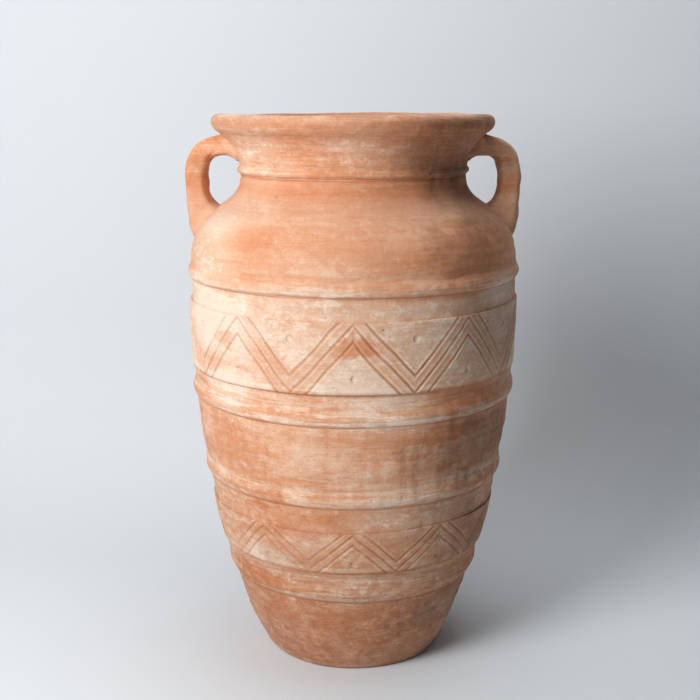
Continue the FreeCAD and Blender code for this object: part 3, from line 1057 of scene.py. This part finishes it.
    def shade(self, bench: NodeBench, height: Wire, flattened: Wire, wear: Wire,
              chance: dict[str, Wire]) -> Wire:
        """How bright each point is: mottled, with painted shade darker towards the foot and on the rim's top,
        painted light on the neck just under the rim, and darker patches that are partly stains and partly
        painted shade on the jar's shaded side.
        """
        mottle = (chance["speckle"] * 0.42 + chance["brush"] * 0.18 + chance["scuffs"] * 0.34
                  + chance["patches"] * 0.20)
        # Random mottling, and painted shade darkening the jar more and more below mid-height, where less
        # light falls.
        shade = 1.0 + mottle * wear - bench.fade(height, 0.50, 0.02, 0.0, 0.27)
        # Painted shade on the rim's top, and painted light on the neck just under the rim, where the rim
        # shades it.
        shade = shade - bench.fade(height, 0.972, 0.992, 0.0, 0.12) + bench.bell(height - 0.945, 0.018) * 0.09
        ragged = chance["patches"] * 0.2 + chance["drips"] * 0.16
        # Darker patches: partly real stains, partly painted shade on the jar's shaded side.
        for darker_patch in STAINS_AND_PAINTED_SHADE:
            shade = shade + darker_patch.amount(bench, flattened, ragged)
        return shade

    def build(self) -> bpy.types.Material:
        """Makes the material."""
        material = bpy.data.materials.new(self.name)
        bench = NodeBench.emptied(material)
        place = bench.wire("ShaderNodeTexCoord", "Object")
        flattened = bench.scaled(place, (1.0, 1.0, 2.0))
        height = bench.wire("ShaderNodeSeparateXYZ", 2, {0: place})
        wear = bench.ramp(height, self.wear_by_height) * 2.0
        chance = {name: bench.chance(place, *settings) for name, settings in CHANCES.items()}
        scuffs, clouds = chance["scuffs"], chance["clouds"]
        scratches = self.scratches(bench, place, chance)
        amount = self.wash_left(bench, height, flattened, wear, chance) + scratches * 0.22
        groove_shade_and_lip_light = dent_edge_shade = dent_floor = 0.0
        if self.incised:
            nearness = bench.mark("dent") + scuffs * 0.05
            # Painted shade in a thin ring round each dent's edge.
            dent_edge_shade = bench.bell(nearness - 0.50, 0.055)
            dent_floor = bench.fade(nearness, 0.47, 0.60)
            # The incision mark paints shade into the grooves, as less wash and, below, the dark brown with
            # some grime, and a highlight on their lips, as more wash.
            groove_shade_and_lip_light = bench.mark("incision")
            bare = bench.fade(clouds + chance["patches"] * 0.6 + scuffs * 0.4, -0.06, 0.16)
            amount = amount - bench.mark("rubbed") * bare * 0.22 - groove_shade_and_lip_light * 0.12
        colour = bench.ramp(bench.clamp(amount, 0.0, 1.0), self.tones)

        pits = self.pits(bench, place, scuffs)
        # How strongly the grooves are darkened: painted shade with some grime.
        groove_shade_share = bench.fade(clouds + scuffs * 0.8, -0.14, 0.12, 0.02, 0.22)
        # The darkening: painted shade in the grooves with some grime, painted shade in the creases and round
        # the dents, the painted contact shadow at the foot, the darker pits, and smudges of grime.
        shade_and_grime = bench.clamp(groove_shade_and_lip_light, 0.0, 1.0) * groove_shade_share + self.crease_shade_lines(bench, height, chance)
        smudges = bench.fade(scuffs, 0.17, 0.32, 0.0, 0.16) * wear
        shade_and_grime = bench.clamp(shade_and_grime + pits * 0.45 + dent_edge_shade * 0.22 + smudges, 0.0, 0.85)
        shade = self.shade(bench, height, flattened, wear, chance)
        colour = bench.wire("ShaderNodeHueSaturation", 0, {
            "Value": shade, "Color": bench.mix(shade_and_grime, colour, self.grime_and_shade_brown)})

        thick = bench.fade(amount, 0.5, 0.9)
        rough = bench.clamp(0.86 + (thick - 0.5) * 0.08 + chance["grain"] * 0.08, 0.6, 1.0)
        texture = (chance["brush"] * 0.40 + chance["streaks"] * 0.45 + chance["grain"] * 0.22
                   + scuffs * 0.8 + chance["speckle"] * 0.30)
        surface = texture * wear - pits * 1.2 + thick * 0.2 + scratches * 0.3 - dent_floor * 0.9
        normal = bench.wire("ShaderNodeBump", 0, {"Strength": 0.6, "Distance": 0.0012, "Height": surface})
        shader = bench.wire("ShaderNodeBsdfPrincipled", 0, {
            "Base Color": colour, "Roughness": rough, "Normal": normal, "Specular IOR Level": 0.25,
            "Sheen Weight": 0.08, "Sheen Roughness": 0.6})
        bench.node("ShaderNodeOutputMaterial", {"Surface": shader})
        return material


# ---- Studio ----


@dataclass(frozen=True)
class Lamp:
    """A soft rectangular light.

    Attributes:
        name: Its name.
        place: Where it hangs.
        aim: What it points at.
        size: Its breadth and its height.
        power: Its power in watts.
    """

    name: str
    place: Triple
    aim: Triple
    size: tuple[float, float]
    power: float

    def hang(self) -> None:
        """Hangs the light."""
        data = bpy.data.lights.new(self.name, "AREA")
        data.shape, data.energy = "RECTANGLE", self.power
        data.size, data.size_y = self.size
        lamp = put_in_scene(self.name, data)
        lamp.location = self.place
        x, y, z = (b - a for a, b in zip(self.place, self.aim))
        lamp.rotation_euler = (math.atan2(math.hypot(x, y), -z), 0.0, math.atan2(-x, y))


@dataclass(frozen=True)
class Studio:
    """The sweep that the jar stands on, the lights and the camera.

    Attributes:
        eye: Where the camera stands.
        tilt: How far the camera looks down, in degrees.
        lens: The focal length in millimetres, on the usual 36 mm sensor.
        sweep: The backdrop's section, as (y, z), from the floor's front edge to the top of the wall.
        sweep_half: Half of the backdrop's breadth.
        paper: The backdrop's colour.
        lamps: The lights.
        sky: The colour of the weak light from all round.
        fill: That light's strength.
        pale: How much stronger the camera sees it, so that it looks like the paper past the paper's edges.
    """

    eye: Triple = (-0.0057, -2.09, 1.022)
    tilt: float = 12.33
    lens: float = 58.4
    sweep: Curve = (
        (-7.0, 0.0), (0.38, 0.0), (0.52, 0.009), (0.66, 0.04), (0.78, 0.10), (0.87, 0.19), (0.92, 0.31),
        (0.94, 0.45), (0.94, 4.0),
    )
    sweep_half: float = 7.0
    paper: Colour = (0.70, 0.735, 0.765, 1.0)
    lamps: tuple[Lamp, ...] = (
        Lamp("key", (-1.73, -1.89, 1.80), (0.0, 0.0, 0.55), (1.1, 2.0), 87.5),
        Lamp("top", (0.2, -0.2, 3.0), (0.3, 0.4, 0.0), (1.4, 1.4), 20.0),
    )
    sky: Colour = (0.97, 0.98, 1.0, 1.0)
    fill: float = 0.085
    pale: float = 0.6

    def build(self) -> None:
        """Sets the jar's surroundings."""
        self.backdrop()
        for lamp in self.lamps:
            lamp.hang()
        self.surroundings()
        self.camera()

    def surroundings(self) -> None:
        """Fills the studio with the weak light."""
        world = bpy.data.worlds.new("studio")
        bench = NodeBench.emptied(world)
        strength = bench.wire("ShaderNodeLightPath", "Is Camera Ray") * self.pale + self.fill
        glow = bench.wire("ShaderNodeBackground", 0, {"Color": self.sky, "Strength": strength})
        bench.node("ShaderNodeOutputWorld", {"Surface": glow})
        bpy.context.scene.world = world

    def backdrop(self) -> None:
        """Lays the sweep, which lets the camera look through it from behind."""
        mesh = bpy.data.meshes.new("studio_sweep")
        points = [(side * self.sweep_half, y, z) for y, z in self.sweep for side in (-1, 1)]
        faces = [(i, i + 1, i + 3, i + 2) for i in range(0, len(points) - 2, 2)]
        mesh.from_pydata(points, [], faces)
        mesh.polygons.foreach_set("use_smooth", [True] * len(faces))
        material = bpy.data.materials.new("studio_paper")
        bench = NodeBench.emptied(material)
        paper = bench.wire("ShaderNodeBsdfPrincipled", 0, {
            "Base Color": self.paper, "Roughness": 0.9, "Specular IOR Level": 0.1})
        from_behind = (bench.wire("ShaderNodeNewGeometry", "Backfacing")
                       * bench.wire("ShaderNodeLightPath", "Is Camera Ray"))
        surface = bench.wire("ShaderNodeMixShader", 0, {
            0: from_behind, 1: paper, 2: bench.wire("ShaderNodeBsdfTransparent")})
        bench.node("ShaderNodeOutputMaterial", {"Surface": surface})
        mesh.materials.append(material)
        put_in_scene("studio_sweep", mesh)

    def camera(self) -> None:
        """Sets the camera up."""
        data = bpy.data.cameras.new("camera")
        data.lens, data.sensor_width = self.lens, 36.0
        data.clip_start, data.clip_end = 0.05, 50.0
        camera = put_in_scene("camera", data)
        camera.location = self.eye
        camera.rotation_euler = (math.radians(90 - self.tilt), 0.0, 0.0)
        bpy.context.scene.camera = camera


def main() -> None:
    """Builds the jar, piece by piece, and sets it in the studio."""
    logging.basicConfig(level=logging.INFO, format="%(message)s")
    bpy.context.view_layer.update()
    bpy.context.scene.view_settings.view_transform = "Standard"
    clay = ClayFinish("terracotta_finish").build()
    strap_clay = ClayFinish("strap_terracotta_finish", creased=False, shift=0.03).build()
    washed = ClayFinish("washed_terracotta_finish", incised=True).build()
    shop = Workshop()
    Wall().build(shop, clay)
    Rim().build(shop, clay)
    rope_maker = Rope.maker()
    for rope in (
        Rope("foot_ring", 0.157, 0.199, 0.0064, 3),
        Rope("waist_ring", 0.347, 0.385, 0.0066, 5),
        Rope("belt_ring", 0.497, 0.535, 0.0074, 8),
        Rope("shoulder_ring", 0.713, 0.744, 0.0068, 13),
        Rope("neck_ring", 0.894, 0.911, 0.0062, 21, crest=0.44),
    ):
        rope.build(shop, rope_maker, washed)
    strip_maker = Frieze.maker()
    for strip in (
        Frieze("lower_frieze", 0.221, 0.301, 0.0034, 34, 90, 1000, repeats=10, groove_depth=0.0013),
        Frieze("upper_frieze", 0.554, 0.675, 0.0034, 55, 118, 828, repeats=9, upper_dents=True),
    ):
        strip.build(shop, strip_maker, washed)
    for side in Side:
        Handle(side).build(shop, strap_clay)
    Studio().build()
    LOG.info("%d pieces", len(shop.pieces))


if __name__ == "__main__":
    main()
